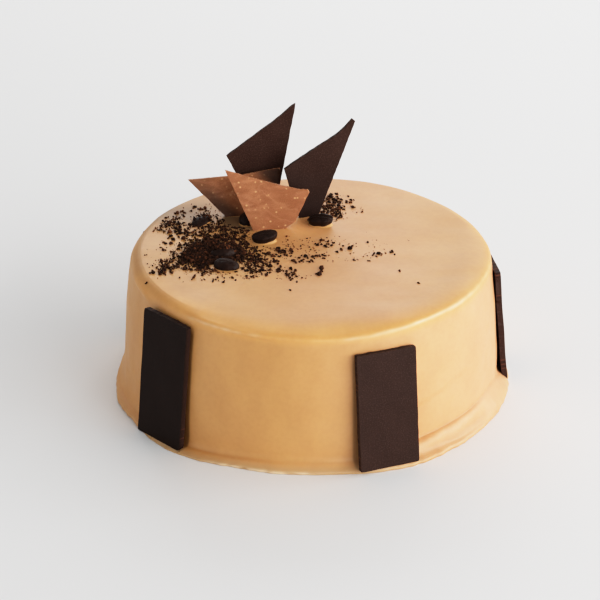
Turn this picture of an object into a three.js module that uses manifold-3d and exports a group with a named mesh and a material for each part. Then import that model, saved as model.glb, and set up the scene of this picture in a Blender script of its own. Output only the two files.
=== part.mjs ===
// Cappuccino cake: a round cake under poured coffee glaze, with dark chocolate tablets
// leaning on its side, and chocolate shards, coffee beans and coffee grounds on its top.
// Millimetres, +Z up, origin at the centre of the underside.
// Azimuths are degrees, turning from the front (-Y) toward +X.
import * as THREE from 'three';
import { mergeVertices } from 'three/addons/utils/BufferGeometryUtils.js';
import Module from 'manifold-3d';

// Glazed body: its wall tapers up to a rounded edge and stands in a thin foot of run-off glaze.
const CAKE_HEIGHT = 67.4;
const SHOULDER = { radius: 85.1, height: 61.2 };
const WALL_BELLY = { radius: 88.9, height: 36 };
const WALL_FOOT = { radius: 89.6, height: 8 };
const CREASE_RADIUS = 90.2;
const FOOT_RADIUS = 94;
const FOOT_THICKNESS = 3.2;
const STEPS = { around: 72, foot: 2, wall: 3, corner: 3, bean: [16, 8], bed: [20, 8] };

// Where the glaze ran off most: a thick skirt on the right, and a smooth sweep out of the wall
// on the left. Each rises from nothing to its full share and fades out between its azimuths.
const SKIRT = { rise: 5.2, spread: 1.8, height: 20, start: 10, full: 38, fading: 95, end: 140 };
const SWEEP = { spread: 2.9, height: 22, start: -165, full: -125, fading: -64, end: -38 };

// Tablets stand in the foot and lean on the wall. The foot bulges round each of them.
const TABLET = { width: 28.7, thickness: 2.7, corner: 0.9 };
const BULGE = { turn: 4, reach: 26 };
const TABLETS = [
  { azimuth: -47.6, turn: 2.2, distance: 94.9, lean: 5.7, bottom: 1.3, length: 60.8, bulge: 3.2 },
  { azimuth: 21.5, turn: -1.4, distance: 96.4, lean: 8.4, bottom: 2, length: 56.4, bulge: 2.6 },
  { azimuth: 94.2, turn: 5.2, distance: 92.5, lean: 6, bottom: 1.3, length: 57.4, bulge: 0.5 },
  { azimuth: 166, turn: -2, distance: 95.3, lean: 7.2, bottom: 1.6, length: 57.2, bulge: 2.8 },
  { azimuth: 238, turn: 1.5, distance: 94.6, lean: 6.3, bottom: 1.5, length: 58.4, bulge: 2.2 },
];

// Shards are stuck into the top, each at a base point, turned by yaw and leaning back.
// An outline gives places on the shard: across from its base point, and up from the top.
const SHARD_THICKNESS = 1.8;
const SHARD_DEPTH = 8;
const SHARDS = [
  {
    name: 'shard_milk_front', milk: true, x: -17.5, y: 21, yaw: 8, lean: 14,
    outline: [[-7, -SHARD_DEPTH], [0, -SHARD_DEPTH], [5, 0.3], [10, 3.1], [17.4, 17.3], [16.8, 18.4],
      [-22.7, 30.2], [-10, -0.6]],
  },
  {
    name: 'shard_milk_back', milk: true, x: -34, y: 36, yaw: 10, lean: 14,
    outline: [[-3, -SHARD_DEPTH], [9, -SHARD_DEPTH], [15, 0], [19.3, 14.4], [20.1, 22.3], [0, 20],
      [-24.9, 19.6], [-7.4, 0.1]],
  },
  {
    name: 'shard_dark_back', milk: false, x: -21, y: 47, yaw: 8, lean: 5,
    outline: [[-4, -SHARD_DEPTH], [1.5, -SHARD_DEPTH], [3.2, -0.5], [6, 11.3], [14.2, 52], [12.4, 50.8],
      [-19.9, 27.2], [-15.5, 18.2], [-6.5, 0.1]],
  },
  {
    name: 'shard_dark_front', milk: false, x: -1, y: 35, yaw: 14, lean: 7,
    outline: [[-3, -SHARD_DEPTH], [2, -SHARD_DEPTH], [4.5, -0.5], [6.6, 4.9], [24.1, 46.1], [22.6, 47.5],
      [19.8, 45.4], [-11.4, 25.6], [-9, 16.2], [-5, 0.8]],
  },
];

// Beans lie pressed a little way into the glaze. A turned-up bean shows its flat side and groove.
const BEAN = { length: 12.4, width: 8.8, height: 5.6, flat: 0.45, groove: 0.9, sink: 0.9 };
const BEANS = [
  { x: -53.5, y: 27, yaw: 65, tilt: 4, turnedUp: false },
  { x: -40, y: -19.5, yaw: -6, tilt: 3, turnedUp: false },
  { x: -41, y: -7.5, yaw: 12, tilt: -5, turnedUp: false },
  { x: -22, y: 9, yaw: 14, tilt: -7, turnedUp: true },
  { x: 4.5, y: 26.5, yaw: -6, tilt: -4, turnedUp: true },
  { x: -30.5, y: 29.5, yaw: 80, tilt: 5, turnedUp: false },
];

// Coffee grounds: one bed where they cover the glaze, loose crumbs in elliptical patches, and strays.
const BED = { x: -47, y: -5, width: 33, depth: 29, height: 1.5, bump: 0.5 };
const PATCHES = [
  { x: -50, y: -9, width: 26, depth: 30, count: 26 },
  { x: -44, y: 7, width: 26, depth: 16, count: 22 },
  { x: -61, y: -16, width: 20, depth: 16, count: 20 },
  { x: -69, y: -23, width: 13, depth: 9, count: 8 },
  { x: -59, y: 15, width: 22, depth: 14, count: 22 },
  { x: -67, y: 26, width: 16, depth: 18, count: 16 },
  { x: -46, y: 24, width: 14, depth: 12, count: 10 },
  { x: -58, y: 41, width: 24, depth: 12, count: 7 },
  { x: -65, y: 1, width: 14, depth: 20, count: 12 },
  { x: -31, y: 1, width: 12, depth: 18, count: 14 },
  { x: -28, y: -15, width: 16, depth: 22, count: 24 },
  { x: -21, y: -23, width: 14, depth: 12, count: 14 },
  { x: -15, y: -4, width: 13, depth: 10, count: 10 },
  { x: -10, y: -25, width: 6, depth: 11, count: 7 },
  { x: -10, y: -14, width: 16, depth: 14, count: 8 },
  { x: 1, y: -9, width: 16, depth: 8, count: 12 },
  { x: 4, y: -23, width: 4, depth: 8, count: 4 },
  { x: 5, y: 5, width: 12, depth: 8, count: 6 },
  { x: 16, y: -1, width: 12, depth: 10, count: 4 },
  { x: 34, y: -6, width: 16, depth: 6, count: 6 },
  { x: 11, y: 55, width: 9, depth: 16, count: 14 },
  { x: 12.5, y: 40, width: 10, depth: 14, count: 14 },
  { x: 18, y: 51, width: 6, depth: 16, count: 5 },
];
const STRAYS = [
  [-78, -7.5], [-75.5, -33.5], [-45, -34], [-40, -35], [-36, -31], [-9.5, -43],
  [-6.5, -35], [20, -12], [27.5, -13], [41, -23], [49.5, -36], [25, 41],
];
const CRUMB = {
  smallest: 0.75, largest: 1.95, stray: 0.9, round: 1.6, rise: 0.3,
  gather: 0.6, scarce: 2, spacing: 0.75, margin: 0.6, tries: 8, reach: 78, seed: 20,
};

// Space left round every piece that stands in the cake.
const CLEARANCE = 0.3;
const MERGE_TOLERANCE = 1e-3;
const DRAW = { multiplier: 1664525, increment: 1013904223, modulus: 2 ** 32 };

const FINISH = {
  glaze: { color: 0xd9a868, roughness: 0.4 },
  dark: { color: 0x3b2722, roughness: 0.5 },
  milk: { color: 0xa76a46, roughness: 0.45 },
  bean: { color: 0x241a17, roughness: 0.35 },
};

const wasm = await Module();
wasm.setup();

const radians = THREE.MathUtils.degToRad;

// A copy of a geometry whose neighbouring triangles share their vertices.
function weld(geometry) {
  const bare = geometry.clone();
  bare.deleteAttribute('normal');
  bare.deleteAttribute('uv');
  return mergeVertices(bare, MERGE_TOLERANCE);
}

// A closed geometry becomes a solid, without its zero-area triangles.
function toSolid(geometry) {
  const merged = weld(geometry);
  const corners = merged.index.array;
  const triangles = [];
  for (let i = 0; i < corners.length; i += 3) {
    const [a, b, c] = corners.slice(i, i + 3);
    if (a !== b && b !== c && c !== a) triangles.push(a, b, c);
  }
  return new wasm.Manifold(new wasm.Mesh({
    numProp: 3,
    vertProperties: new Float32Array(merged.attributes.position.array),
    triVerts: new Uint32Array(triangles),
  }));
}

function toGeometry(solid) {
  const { vertProperties, triVerts } = solid.getMesh();
  const geometry = new THREE.BufferGeometry();
  geometry.setAttribute('position', new THREE.BufferAttribute(vertProperties, 3));
  geometry.setIndex(new THREE.BufferAttribute(triVerts, 1));
  return geometry;
}

// The main body of a solid, with loose scraps and sealed hollows dropped.
function mainBody(solid) {
  return solid.decompose().reduce((best, body) => (body.volume() > best.volume() ? body : best));
}

// Numbers from 0 to 1, the same in every run.
function seededRandom(seed) {
  let state = seed;
  return () => {
    state = (state * DRAW.multiplier + DRAW.increment) % DRAW.modulus;
    return state / DRAW.modulus;
  };
}

function paint(finish) {
  return new THREE.MeshStandardMaterial({ ...finish, metalness: 0, flatShading: true });
}

// Moves each vertex of a geometry to where the rule puts it.
function reshape(geometry, rule) {
  const position = geometry.attributes.position;
  const vertex = new THREE.Vector3();
  for (let i = 0; i < position.count; i += 1) {
    rule(vertex.fromBufferAttribute(position, i));
    position.setXYZ(i, vertex.x, vertex.y, vertex.z);
  }
  return geometry;
}

// Half section of the cake, from the middle of the underside to the middle of the top.
function cakeProfile() {
  const bead = FOOT_THICKNESS / 2;
  const edge = CAKE_HEIGHT - SHOULDER.height;
  const foot = new THREE.Path();
  foot.absarc(FOOT_RADIUS - bead, bead, bead, -Math.PI / 2, Math.PI / 2);
  const wall = new THREE.Path();
  wall.moveTo(CREASE_RADIUS, FOOT_THICKNESS);
  wall.quadraticCurveTo(WALL_FOOT.radius, FOOT_THICKNESS, WALL_FOOT.radius, WALL_FOOT.height);
  wall.quadraticCurveTo(WALL_BELLY.radius, WALL_BELLY.height, SHOULDER.radius, SHOULDER.height);
  wall.absarc(SHOULDER.radius - edge, SHOULDER.height, edge, 0, Math.PI / 2);
  return [
    new THREE.Vector2(0, 0),
    ...foot.getPoints(STEPS.foot),
    ...wall.getPoints(STEPS.wall),
    new THREE.Vector2(0, CAKE_HEIGHT),
  ];
}

// Share of a run of glaze at an azimuth, from 0 outside it to 1 along its full stretch.
function runShare(run, azimuth) {
  const { smoothstep } = THREE.MathUtils;
  return smoothstep(azimuth, run.start, run.full) * (1 - smoothstep(azimuth, run.fading, run.end));
}

// How far the foot stands out at an azimuth, with its skirt and its bulge round each tablet.
function footReach(azimuth) {
  const bulges = TABLETS.map((tablet) => {
    const away = azimuth - tablet.azimuth - BULGE.turn;
    const offset = Math.abs(THREE.MathUtils.euclideanModulo(away + 180, 360) - 180);
    const near = Math.min(offset / BULGE.reach, 1);
    return tablet.bulge * (0.5 + 0.5 * Math.cos(Math.PI * near));
  });
  const reach = FOOT_RADIUS + SKIRT.spread * runShare(SKIRT, azimuth);
  return bulges.reduce((total, bulge) => total + bulge, reach);
}

// Moves a vertex of the even foot and lower wall to where the glaze ran.
function runGlaze(vertex) {
  const radius = Math.hypot(vertex.x, vertex.y);
  const height = Math.max(vertex.z, FOOT_THICKNESS);
  if (radius < CREASE_RADIUS / 2 || height > SWEEP.height) return;
  const azimuth = THREE.MathUtils.radToDeg(Math.atan2(vertex.x, -vertex.y));
  const swept = SWEEP.spread * runShare(SWEEP, azimuth) * (1 - height / SWEEP.height);
  const outside = Math.max(0, (radius - CREASE_RADIUS) / (FOOT_RADIUS - CREASE_RADIUS));
  const onFoot = vertex.z <= FOOT_THICKNESS && outside > 0;
  const crease = CREASE_RADIUS + swept;
  const target = onFoot ? crease + outside * (footReach(azimuth) - crease) : radius + swept;
  const lifted = onFoot ? 0 : Math.max(0, 1 - (vertex.z - FOOT_THICKNESS) / SKIRT.height);
  const rise = SKIRT.rise * runShare(SKIRT, azimuth) * lifted;
  vertex.set(vertex.x * target / radius, vertex.y * target / radius, vertex.z + rise);
}

function cakeGeometry() {
  const lathe = new THREE.LatheGeometry(cakeProfile(), STEPS.around);
  return reshape(lathe.rotateX(Math.PI / 2), runGlaze);
}

// A flat piece of the outline, its front face at z = 0, grown on every side by a margin.
function sliceGeometry(shape, thickness, margin) {
  const slice = new THREE.ExtrudeGeometry(shape, {
    depth: thickness,
    bevelEnabled: margin > 0,
    bevelThickness: margin,
    bevelSize: margin,
    bevelSegments: 1,
    curveSegments: STEPS.corner,
  });
  return slice.translate(0, 0, -thickness);
}

function tabletShape(length) {
  const { width, corner } = TABLET;
  const shape = new THREE.Shape();
  shape.moveTo(-width / 2, corner);
  shape.quadraticCurveTo(-width / 2, 0, corner - width / 2, 0);
  shape.lineTo(width / 2 - corner, 0);
  shape.quadraticCurveTo(width / 2, 0, width / 2, corner);
  shape.lineTo(width / 2, length - corner);
  shape.quadraticCurveTo(width / 2, length, width / 2 - corner, length);
  shape.lineTo(corner - width / 2, length);
  shape.quadraticCurveTo(-width / 2, length, -width / 2, length - corner);
  shape.closePath();
  return shape;
}

// A coffee bean round its own centre: length along x, rounded side up, grooved flat side down.
function beanGeometry(margin) {
  const sphere = new THREE.SphereGeometry(1, ...STEPS.bean).rotateZ(Math.PI / 2);
  const half = { x: BEAN.length / 2, y: BEAN.width / 2, z: BEAN.height / (1 + BEAN.flat) };
  return reshape(sphere, (vertex) => {
    const below = vertex.z < 0;
    const inGroove = below && Math.abs(vertex.y) < MERGE_TOLERANCE;
    const groove = inGroove && margin === 0 ? BEAN.groove * Math.abs(vertex.z) : 0;
    vertex.x *= half.x + margin;
    vertex.y *= half.y + margin;
    vertex.z *= (below ? half.z * BEAN.flat : half.z) + margin;
    vertex.z += groove;
  });
}

// Depth of a bean below its own centre, on the side it lies on.
function beanUnder(turnedUp) {
  const upper = BEAN.height / (1 + BEAN.flat);
  return turnedUp ? upper : upper * BEAN.flat;
}

// A piece that stands in the cake: its mesh, and the geometry of the seat cut for it.
function topping(name, material, build) {
  const mesh = new THREE.Mesh(toGeometry(toSolid(build(0))), material);
  mesh.name = name;
  return { mesh, seat: build(CLEARANCE) };
}

function makeTablet(plan, order) {
  const shape = tabletShape(plan.length);
  const piece = topping(`plaque_${order + 1}`, paint(FINISH.dark), (margin) => (
    sliceGeometry(shape, TABLET.thickness, margin)
  ));
  piece.mesh.position.set(0, -plan.distance, plan.bottom);
  piece.mesh.rotation.set(Math.PI / 2 - radians(plan.lean), 0, radians(plan.turn), 'ZXY');
  const bearing = new THREE.Group();
  bearing.rotation.z = radians(plan.azimuth);
  bearing.add(piece.mesh);
  return { ...piece, root: bearing };
}

function makeShard(plan) {
  const shape = new THREE.Shape(plan.outline.map(([across, up]) => new THREE.Vector2(across, up)));
  const finish = plan.milk ? FINISH.milk : FINISH.dark;
  const piece = topping(plan.name, paint(finish), (margin) => (
    sliceGeometry(shape, SHARD_THICKNESS, margin)
  ));
  piece.mesh.position.set(plan.x, plan.y, CAKE_HEIGHT);
  piece.mesh.rotation.set(Math.PI / 2 - radians(plan.lean), 0, radians(plan.yaw), 'ZXY');
  return { ...piece, root: piece.mesh };
}

function makeBean(plan, order) {
  const piece = topping(`bean_${order + 1}`, paint(FINISH.bean), beanGeometry);
  const lift = beanUnder(plan.turnedUp) - BEAN.sink;
  piece.mesh.position.set(plan.x, plan.y, CAKE_HEIGHT + lift);
  const roll = plan.turnedUp ? Math.PI : 0;
  piece.mesh.rotation.set(roll, radians(plan.tilt), radians(plan.yaw), 'ZYX');
  return { ...piece, root: piece.mesh };
}

// Height that a crumb lies at: on the bed of grounds, on the flat top or on its rounded edge.
function groundHeight(x, y) {
  const edge = CAKE_HEIGHT - SHOULDER.height;
  const over = Math.max(0, Math.hypot(x, y) - SHOULDER.radius + edge);
  const across = (x - BED.x) / (BED.width / 2);
  const along = (y - BED.y) / (BED.depth / 2);
  const bed = BED.height * Math.sqrt(Math.max(0, 1 - across * across - along * along));
  return SHOULDER.height + Math.sqrt(edge * edge - over * over) + bed;
}

// A low dome, bumpy all over, sunk to its middle in the top.
function bedGeometry(random) {
  const sphere = new THREE.SphereGeometry(1, ...STEPS.bed).rotateX(Math.PI / 2);
  return reshape(weld(sphere), (vertex) => {
    const rise = vertex.z * BED.height + BED.bump * (random() - 0.5);
    vertex.set(BED.x + vertex.x * BED.width / 2, BED.y + vertex.y * BED.depth / 2, CAKE_HEIGHT + rise);
  });
}

// True where a crumb would touch a bean or the foot of a shard.
function meetsTopping(x, y, reach) {
  const onBean = BEANS.some((bean) => Math.hypot(x - bean.x, y - bean.y) < BEAN.length / 2 + reach);
  const onShard = SHARDS.some((shard) => {
    const yaw = radians(shard.yaw);
    const across = (x - shard.x) * Math.cos(yaw) + (y - shard.y) * Math.sin(yaw);
    const front = (x - shard.x) * Math.sin(yaw) - (y - shard.y) * Math.cos(yaw);
    const foot = shard.outline.filter(([, up]) => up < SHARD_DEPTH / 2).map(([place]) => place);
    const beside = across > Math.min(...foot) - reach && across < Math.max(...foot) + reach;
    return beside && front < reach && front > -SHARD_THICKNESS - reach;
  });
  return onBean || onShard;
}

// Places and radii of the loose crumbs, patch by patch, denser toward each patch's middle.
function scatterCrumbs(random) {
  const crumbs = STRAYS.map(([x, y]) => ({ x, y, radius: CRUMB.stray }));
  PATCHES.forEach((patch) => {
    let left = patch.count;
    for (let i = 0; i < patch.count * CRUMB.tries && left > 0; i += 1) {
      const way = 2 * Math.PI * random();
      const out = random() ** CRUMB.gather / 2;
      const x = patch.x + patch.width * out * Math.cos(way);
      const y = patch.y + patch.depth * out * Math.sin(way);
      const radius = CRUMB.smallest + (CRUMB.largest - CRUMB.smallest) * random() ** CRUMB.scarce;
      const crowded = crumbs.some((other) => (
        Math.hypot(x - other.x, y - other.y) < CRUMB.spacing * (radius + other.radius)
      ));
      const offTop = Math.hypot(x, y) > CRUMB.reach;
      if (crowded || offTop || meetsTopping(x, y, radius + CRUMB.margin)) continue;
      crumbs.push({ x, y, radius });
      left -= 1;
    }
  });
  return crumbs;
}

function crumbGeometry(crumb, random) {
  const { x, y, radius } = crumb;
  const stone = radius > CRUMB.round
    ? new THREE.IcosahedronGeometry(radius)
    : new THREE.OctahedronGeometry(radius);
  stone.rotateX(Math.PI * random()).rotateZ(Math.PI * random());
  return stone.translate(x, y, groundHeight(x, y) + CRUMB.rise * radius);
}

// The glazed cake with the grounds fused to its top and a seat cut for each topping.
function makeCake(toppings) {
  const random = seededRandom(CRUMB.seed);
  const crumbs = scatterCrumbs(random).map((crumb) => toSolid(crumbGeometry(crumb, random)));
  const body = wasm.Manifold.union([toSolid(cakeGeometry()), toSolid(bedGeometry(random)), ...crumbs]);
  const seats = toppings.map(({ mesh, seat }) => toSolid(seat.clone().applyMatrix4(mesh.matrixWorld)));
  const solid = mainBody(body.subtract(wasm.Manifold.union(seats)));
  const cake = new THREE.Mesh(toGeometry(solid), paint(FINISH.glaze));
  cake.name = 'cake';
  return cake;
}

const dessert = new THREE.Group();
const toppings = [...TABLETS.map(makeTablet), ...SHARDS.map(makeShard), ...BEANS.map(makeBean)];
toppings.forEach(({ root }) => dessert.add(root));
dessert.updateMatrixWorld(true);
dessert.add(makeCake(toppings));

export default dessert;
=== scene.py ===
import math
import bmesh
import bpy
import numpy as np
from mathutils import Matrix, Vector


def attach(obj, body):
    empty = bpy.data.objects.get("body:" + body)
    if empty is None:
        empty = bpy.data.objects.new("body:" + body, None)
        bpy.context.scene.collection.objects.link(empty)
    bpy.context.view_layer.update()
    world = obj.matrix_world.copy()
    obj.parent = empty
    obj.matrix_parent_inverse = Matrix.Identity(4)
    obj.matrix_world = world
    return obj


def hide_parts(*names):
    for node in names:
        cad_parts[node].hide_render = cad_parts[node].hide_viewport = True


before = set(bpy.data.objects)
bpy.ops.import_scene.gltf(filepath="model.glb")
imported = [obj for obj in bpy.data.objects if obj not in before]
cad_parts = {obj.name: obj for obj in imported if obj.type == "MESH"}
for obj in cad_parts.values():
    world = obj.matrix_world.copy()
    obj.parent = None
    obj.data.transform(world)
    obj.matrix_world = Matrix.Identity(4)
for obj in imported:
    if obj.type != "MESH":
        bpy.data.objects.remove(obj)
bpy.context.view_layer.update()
mm = 0.001
pi = math.pi
print("frame loaded:", len(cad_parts), "nodes")


# Shape helpers: everything is drawn in millimetres and scaled when the mesh is made.

def smoothStep(value, low, high):
    share = np.clip((value - low) / (high - low), 0, 1)
    return share * share * (3 - 2 * share)


def spanShare(span, value):  # a span says where something starts, is full, begins to fade and ends
    start, full, fading, end = span
    return smoothStep(value, start, full) * (1 - smoothStep(value, fading, end))


def hump(away, width):  # 1 in the middle, falling smoothly to both sides
    return np.exp(-(away / width) ** 2)


def waves(points, length, seed, count=16):  # smooth unevenness, about 1 deep, humps a length apart
    draw = np.random.default_rng(seed)
    ways = draw.normal(size=(count, 3))
    ways /= np.linalg.norm(ways, axis=1, keepdims=True)
    pitch = 2 * pi / (length * draw.uniform(0.7, 1.5, (count, 1)))
    phase = draw.uniform(0, 2 * pi, count)
    return np.cos(points @ (ways * pitch).T + phase).sum(axis=1) * math.sqrt(2 / count)


def bezier(start, control, end, count):
    share = np.linspace(0, 1, count)[:, None]
    near, middle, far = np.array(start), np.array(control), np.array(end)
    return (1 - share) ** 2 * near + 2 * share * (1 - share) * middle + share ** 2 * far


def throughPoints(points, count):  # smooth curve through a few points
    spots = np.array(points, float)
    spots = np.vstack([2 * spots[0] - spots[1], spots, 2 * spots[-1] - spots[-2]])
    along = np.linspace(0, len(points) - 1, count)
    start = np.minimum(along.astype(int), len(points) - 2)
    share = (along - start)[:, None]
    before, here, there, after = (spots[start + step] for step in range(4))
    bend = 2 * before - 5 * here + 4 * there - after
    twist = 3 * (here - there) + after - before
    return here + share * (there - before + share * (bend + share * twist)) / 2


def gridFaces(rows, columns):  # quads of a band that closes on itself
    row, column = np.meshgrid(np.arange(rows - 1), np.arange(columns), indexing="ij")
    here = row * columns + column
    beside = row * columns + (column + 1) % columns
    return np.stack([here, beside, beside + columns, here + columns], axis=-1).reshape(-1, 4).tolist()


def closedFaces(rows, columns):  # the band, with fans to a vertex under its first row and one above its last
    faces = gridFaces(rows, columns)
    under, over = rows * columns, rows * columns + 1
    top = (rows - 1) * columns
    for column in range(columns):
        after = (column + 1) % columns
        faces.append((under, after, column))
        faces.append((over, top + column, top + after))
    return faces


def turned(degrees, axis):
    return Matrix.Rotation(math.radians(degrees), 4, axis)


def addPiece(name, points, faces, material, smooth=True):
    mesh = bpy.data.meshes.new(name)
    mesh.from_pydata((np.asarray(points) * mm).tolist(), [], faces)
    mesh.polygons.foreach_set("use_smooth", np.full(len(mesh.polygons), smooth))
    mesh.materials.append(material)
    piece = bpy.data.objects.new(name, mesh)
    bpy.context.scene.collection.objects.link(piece)
    return piece


def addTone(piece, name, values):  # one number for each vertex, for the material to read
    tone = piece.data.attributes.new(name, "FLOAT", "POINT")
    tone.data.foreach_set("value", np.asarray(values, np.float32))


def settle(piece, slot, *nodes):
    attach(piece, "root")
    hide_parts(*nodes)
    return piece


# Material helpers

def startMaterial(name):
    material = bpy.data.materials.new(name)
    material.use_nodes = True
    tree = material.node_tree
    return material, tree, tree.nodes["Principled BSDF"]


def feed(tree, node, inputs):  # outputs of other nodes are linked, numbers and colours are set
    for name, value in inputs.items():
        if isinstance(value, bpy.types.NodeSocket):
            tree.links.new(value, node.inputs[name])
        else:
            node.inputs[name].default_value = value


def addNode(tree, kind, inputs, **settings):
    node = tree.nodes.new(kind)
    for name, value in settings.items():
        setattr(node, name, value)
    feed(tree, node, inputs)
    return node


def opaque(colour):  # a colour or a grey, with its alpha; outputs of nodes stay as they are
    if isinstance(colour, bpy.types.NodeSocket):
        return colour
    return (colour, colour, colour, 1) if isinstance(colour, (int, float)) else (*colour, 1)


def pieceSpot(tree, stretch=(1, 1, 1)):  # place on the piece, in metres, stretched along its own axes
    where = addNode(tree, "ShaderNodeTexCoord", {}).outputs["Object"]
    return addNode(tree, "ShaderNodeMapping", {"Vector": where, "Scale": stretch}).outputs["Vector"]


def noiseOf(tree, spot, size, detail=3.0, rough=0.55, twist=0.0):  # size of its blotches in millimetres
    return addNode(tree, "ShaderNodeTexNoise", {
        "Vector": spot, "Scale": 1 / (size * mm), "Detail": detail, "Roughness": rough,
        "Distortion": twist}).outputs["Fac"]


def rampOf(tree, factor, stops):  # stops of (place, colour or grey)
    ramp = addNode(tree, "ShaderNodeValToRGB", {"Fac": factor})
    while len(ramp.color_ramp.elements) < len(stops):
        ramp.color_ramp.elements.new(0.5)
    for element, (place, colour) in zip(ramp.color_ramp.elements, stops):
        element.position = place
        element.color = opaque(colour)
    return ramp.outputs["Color"]


def mixOf(tree, factor, first, second, blend="MIX"):
    colours = {0: factor, 6: opaque(first), 7: opaque(second)}  # places of the mix node's colour inputs
    return addNode(tree, "ShaderNodeMix", colours, data_type="RGBA", blend_type=blend).outputs[2]


def timesOf(tree, first, second):
    return mixOf(tree, 1, first, second, "MULTIPLY")


def layWashes(tree, colour, washes, sources):  # each wash covers what is under it where its source is high
    for name, stops, wash in washes:
        colour = mixOf(tree, rampOf(tree, sources[name], stops), colour, wash)
    return colour


def toneOf(tree, name):  # reads a number that addTone wrote
    return addNode(tree, "ShaderNodeAttribute", {}, attribute_name=name).outputs["Fac"]


def bumpOf(tree, layers):  # layers of (height, depth in millimetres)
    under = {}
    for height, depth in layers:
        inputs = {"Height": height, "Strength": 1.0, "Distance": depth * mm, **under}
        under = {"Normal": addNode(tree, "ShaderNodeBump", inputs).outputs["Normal"]}
    return under["Normal"]


# Chocolate tablets, also needed by the glaze that swells round them: "lips" are the sides that the glaze
# climbs, "gap" is how dark the painted shadow is beside the others, and "shade" is painted shade on the face

tablet = {"width": 28.7, "thickness": 2.7, "round": 0.22, "spacing": 1.2, "cell": 2.2, "sideShade": 0.5,
          "rag": 0.035, "ragLength": 6, "snap": 0.1, "snapLength": 1.9, "wave": 0.06, "waveLength": 18,
          "snapZone": 0.5, "bowMiddle": 0.35, "seeds": (40, 60, 80)}
tabletHalf = tablet["width"] / 2
tablets = [
    {"azimuth": -47.6, "turn": 2.2, "distance": 94.9, "lean": 5.7, "bottom": 0.3, "length": 61.8, "tip": 0,
     "bulge": 3.2, "corners": (0.5, 0.9, 0.5, 2.2), "bow": 0.3, "shade": 0.7, "lips": (-1,), "gap": 0.9},
    {"azimuth": 21.85, "turn": 1.0, "distance": 96.9, "lean": 8.4, "bottom": 2.2, "length": 55.6,
     "tip": -0.75, "bulge": 2.6, "corners": (0.4, 0.4, 0.4, 0.5), "bow": 0.1, "shade": 0.3, "lips": (1,),
     "gap": 0.5},
    {"azimuth": 94.2, "turn": 5.2, "distance": 92.3, "lean": 5.0, "bottom": 1.2, "length": 58.2, "tip": 0,
     "bulge": 0.5, "corners": (0.5, 0.6, 0.9, 0.5), "bow": 0.7, "shade": 0.1, "lips": (1,), "gap": 0.9},
    {"azimuth": 166.0, "turn": -2.0, "distance": 95.3, "lean": 7.2, "bottom": 1.6, "length": 57.2, "tip": 0,
     "bulge": 2.8, "corners": (0.6, 0.5, 0.5, 1.0), "bow": 0.2, "shade": 0.3, "lips": (-1, 1)},
    {"azimuth": 238.0, "turn": 1.5, "distance": 94.6, "lean": 6.3, "bottom": 1.5, "length": 58.4, "tip": 0,
     "bulge": 2.2, "corners": (0.5, 0.8, 0.6, 0.5), "bow": 0.4, "shade": 0.5, "lips": (-1, 1)},
]


def stoodUp(place, yaw, lean):  # a flat piece stood on end: across, up, and its face to the front
    return Matrix.Translation(place) @ turned(yaw, "Z") @ turned(90 - lean, "X")


def tabletPlace(plan):
    stood = stoodUp((0, -plan["distance"], plan["bottom"]), plan["turn"], plan["lean"])
    return turned(plan["azimuth"], "Z") @ stood @ turned(plan["tip"], "Z")  # tipped in its own plane


def tabletSpots(plan, points):  # points in the tablet's own axes: across, up, out of its face
    inside = np.array(tabletPlace(plan).inverted())
    return points @ inside[:3, :3].T + inside[:3, 3]


# Coffee beans, also needed by the glaze and the grounds that lie round them

bean = {"length": 12.4, "width": 8.8, "height": 5.6, "flat": 0.45, "sink": 0.9, "rows": 40, "columns": 56,
        "plump": (0.9, 0.7), "groove": {"depth": 1.3, "width": 0.65, "swing": 0.5, "pitch": 1.15},
        "lips": {"height": 0.3, "away": 1.5, "width": 0.7}, "lumps": (0.012, 3.2), "swell": (0.018, 8),
        "seed": 200}
beanUpper = bean["height"] / (1 + bean["flat"])  # height of its rounded side over its middle
beans = [
    {"x": -53, "y": 29.3, "solid": (-53.5, 27), "yaw": 60, "tilt": 4, "turnedUp": False, "sunk": 2.2,
     "buried": True},
    {"x": -39.2, "y": -19.3, "solid": (-40, -19.5), "yaw": -12, "tilt": 3, "turnedUp": False, "sunk": 0.7},
    {"x": -41, "y": -7.5, "yaw": 12, "tilt": -5, "turnedUp": False, "buried": True},
    {"x": -22, "y": 8, "solid": (-22, 9), "yaw": 14, "tilt": -7, "turnedUp": True},
    {"x": 4.5, "y": 26.5, "yaw": -6, "tilt": -4, "turnedUp": True},
    {"x": -30.5, "y": 29.5, "yaw": 80, "tilt": 5, "turnedUp": False},
]


def ownSpot(x, y, plan):  # a place on the top in the axes of a bean or shard: along it and behind it
    turn = math.radians(plan["yaw"])
    along = (x - plan["x"]) * math.cos(turn) + (y - plan["y"]) * math.sin(turn)
    behind = (y - plan["y"]) * math.cos(turn) - (x - plan["x"]) * math.sin(turn)
    return along, behind


def beanGap(x, y, plan):  # about how far a place on the top is from a bean, below 0 under it
    along, behind = ownSpot(x, y, plan)
    away = np.hypot(along / (bean["length"] / 2), behind / (bean["width"] / 2))
    return (away - 1) * bean["width"] / 2


# Glazed body

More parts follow.
